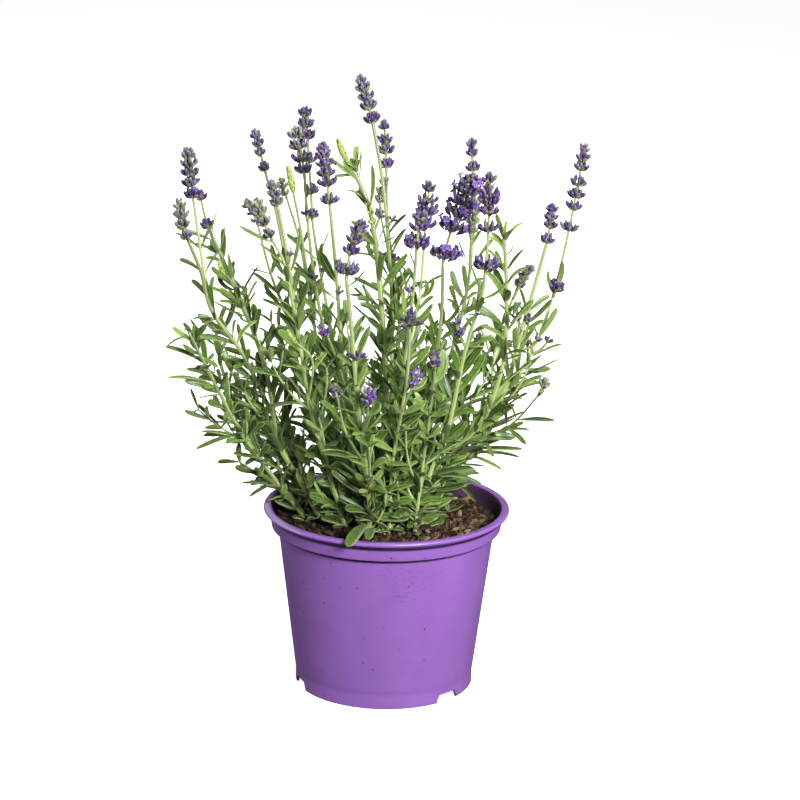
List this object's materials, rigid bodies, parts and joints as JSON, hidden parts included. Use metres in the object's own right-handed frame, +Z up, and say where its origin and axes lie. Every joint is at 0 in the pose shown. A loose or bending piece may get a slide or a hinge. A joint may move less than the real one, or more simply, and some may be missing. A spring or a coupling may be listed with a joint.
{
  "type": "potted lavender",
  "caption": "Lavender in flower growing in a round purple plastic nursery pot: leafy green shoots fan out of dark bark soil and end in violet flower spikes.",
  "frame": {"origin": "the middle of the pot's foot ring, on the surface the pot stands on, which is also the bottom centre of the whole plant's box", "axes": "+Z up along the pot's axis, +Y from the front of the plant to its back and +X to its right, seen from the front"},
  "size_m": [0.2478, 0.1735, 0.3731],
  "materials": {
    "pot_plastic": "satin",
    "potting_soil": "matte",
    "leafy_shoot": "matte",
    "flower_spike": "matte"
  },
  "bodies": {
    "root": {"pot": "pot_plastic", "potting_soil": "potting_soil", "shoot_01": "leafy_shoot", "shoot_02": "leafy_shoot", "shoot_03": "leafy_shoot", "shoot_04": "leafy_shoot", "shoot_05": "leafy_shoot", "shoot_06": "leafy_shoot", "shoot_07": "leafy_shoot", "shoot_08": "leafy_shoot", "shoot_09": "leafy_shoot", "shoot_10": "leafy_shoot", "shoot_11": "leafy_shoot", "shoot_12": "leafy_shoot", "shoot_13": "leafy_shoot", "shoot_14": "leafy_shoot", "shoot_15": "leafy_shoot", "shoot_16": "leafy_shoot", "shoot_17": "leafy_shoot", "shoot_18": "leafy_shoot", "shoot_19": "leafy_shoot", "shoot_20": "leafy_shoot", "shoot_21": "leafy_shoot", "shoot_22": "leafy_shoot", "shoot_23": "leafy_shoot", "flower_spike_01": "flower_spike", "flower_spike_02": "flower_spike", "flower_spike_03": "flower_spike", "flower_spike_04": "flower_spike", "flower_spike_05": "flower_spike", "flower_spike_06": "flower_spike", "flower_spike_07": "flower_spike", "flower_spike_08": "flower_spike", "flower_spike_09": "flower_spike", "flower_spike_10": "flower_spike", "flower_spike_11": "flower_spike", "flower_spike_12": "flower_spike", "flower_spike_13": "flower_spike", "flower_spike_14": "flower_spike", "flower_spike_15": "flower_spike", "flower_spike_16": "flower_spike", "flower_spike_17": "flower_spike", "flower_spike_18": "flower_spike", "flower_spike_19": "flower_spike", "flower_spike_20": "flower_spike", "flower_spike_21": "flower_spike", "flower_spike_22": "flower_spike", "flower_spike_23": "flower_spike", "flower_spike_24": "flower_spike", "flower_spike_25": "flower_spike", "flower_spike_26": "flower_spike", "flower_spike_27": "flower_spike", "flower_spike_28": "flower_spike", "flower_spike_29": "flower_spike", "flower_spike_30": "flower_spike", "flower_spike_31": "flower_spike", "flower_spike_32": "flower_spike", "flower_spike_33": "flower_spike", "flower_spike_34": "flower_spike", "flower_spike_35": "flower_spike"}
  },
  "joints": []
}
